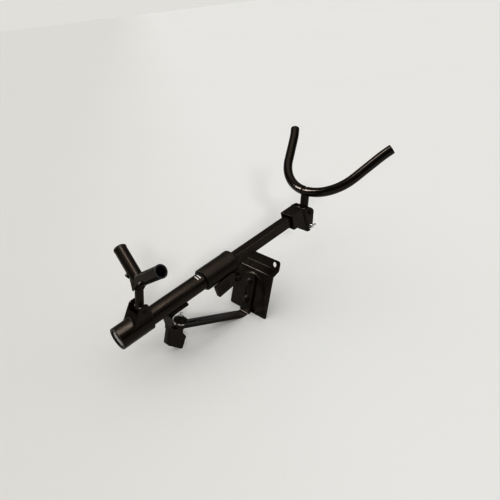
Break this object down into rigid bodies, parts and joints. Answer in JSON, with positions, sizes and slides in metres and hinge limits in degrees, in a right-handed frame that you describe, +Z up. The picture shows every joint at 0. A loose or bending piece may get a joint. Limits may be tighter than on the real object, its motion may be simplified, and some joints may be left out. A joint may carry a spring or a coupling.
{
  "type": "bicycle_wall_rack",
  "caption": "Wall-mounted bicycle rack: folded plate and bent strut carrying a swivelling telescopic beam with a sleeved U cradle at one end and a short tubular V cradle at the other.",
  "frame": {"origin": "midpoint between the two wall holes, on the wall plane", "axes": "+Y points out of the rack's back into the wall, +X to the right along the line of the two holes, +Z up"},
  "size_m": [0.268, 0.4899, 0.4091],
  "materials": {
    "black_paint": "gloss black powder coat on steel",
    "black_plastic": "matte black moulded nylon",
    "satin_plastic": "satin black moulded nylon",
    "soft_vinyl": "glossy black dipped vinyl sleeve",
    "black_rubber": "black rubber edge trim",
    "light_plastic": "light grey moulded plug",
    "bright_zinc": "bright zinc plate",
    "black_zinc": "black zinc plate",
    "chrome": "polished chrome plate"
  },
  "bodies": {
    "wall_bracket": {"wall_plate": "black_paint", "strut_bar": "black_paint", "strut_bolts": "black_zinc", "strut_washers": "bright_zinc", "strut_nuts": "bright_zinc", "swivel_washer": "bright_zinc"},
    "beam": {"swivel_bracket": "black_paint", "swivel_bolt": "bright_zinc", "swivel_liner": "black_plastic", "main_tube": "black_paint", "end_collar": "black_paint", "end_plug": "light_plastic", "collar_bush": "black_plastic", "cradle_bracket": "black_paint", "v_pivot_pin": "black_zinc", "clamp_sleeve": "black_plastic", "clamp_lugs": "black_paint", "clamp_bolt": "black_zinc", "clamp_nut": "black_zinc", "clamp_washers": "black_zinc", "clamp_screws": "black_zinc", "guide_bush": "black_plastic"},
    "knob": {"star_knob": "black_plastic", "knob_insert": "bright_zinc"},
    "lever": {"cam_lever": "satin_plastic", "cam_pin": "black_zinc"},
    "slider": {"square_tube": "black_paint", "slide_foot": "black_plastic", "u_socket": "black_paint", "socket_bush": "black_plastic", "clevis_bracket": "black_paint", "u_pivot_bolt": "black_zinc", "u_pivot_nut": "bright_zinc", "wing_bolt": "bright_zinc", "wing_spacer": "bright_zinc"},
    "u_cradle": {"u_rod": "black_paint", "u_sleeve_left": "soft_vinyl", "u_sleeve_right": "soft_vinyl", "u_post": "black_paint", "u_post_bush": "black_plastic"},
    "v_cradle": {"v_arm_left": "black_paint", "v_arm_right": "black_paint", "v_end_rings": "black_rubber", "v_post": "black_paint", "v_post_bush": "black_plastic", "v_gussets": "black_paint", "v_nuts": "black_zinc"},
    "wing": {"wing_nut": "chrome"}
  },
  "joints": [
    {"name": "beam_swivel", "type": "hinge", "parent": "wall_bracket", "child": "beam", "pos_m": [0, -0.1805, -0.1116], "axis": [0, 0, 1], "range_deg": [-110, 110]},
    {"name": "knob_spin", "type": "hinge", "parent": "beam", "child": "knob", "pos_m": [0, -0.1805, -0.1], "axis": [0, 0, 1], "continuous": true},
    {"name": "lever_swing", "type": "hinge", "parent": "beam", "child": "lever", "pos_m": [0.0196, -0.07675, -0.02537], "axis": [0, -0.471, 0.8821], "range_deg": [0, 120]},
    {"name": "beam_slide", "type": "slide", "parent": "beam", "child": "slider", "axis": [0, 0.8821, 0.471], "range_m": [-0.085, 0.045]},
    {"name": "u_tilt", "type": "hinge", "parent": "slider", "child": "u_cradle", "pos_m": [0, 0.09578, 0.09736], "axis": [1, 0, 0], "range_deg": [-60, 35]},
    {"name": "v_tilt", "type": "hinge", "parent": "beam", "child": "v_cradle", "pos_m": [0, -0.27016, -0.06822], "axis": [1, 0, 0], "range_deg": [-60, 15]},
    {"name": "wing_spin", "type": "hinge", "parent": "slider", "child": "wing", "pos_m": [0, 0.10279, 0.06937], "axis": [1, 0, 0], "continuous": true}
  ]
}
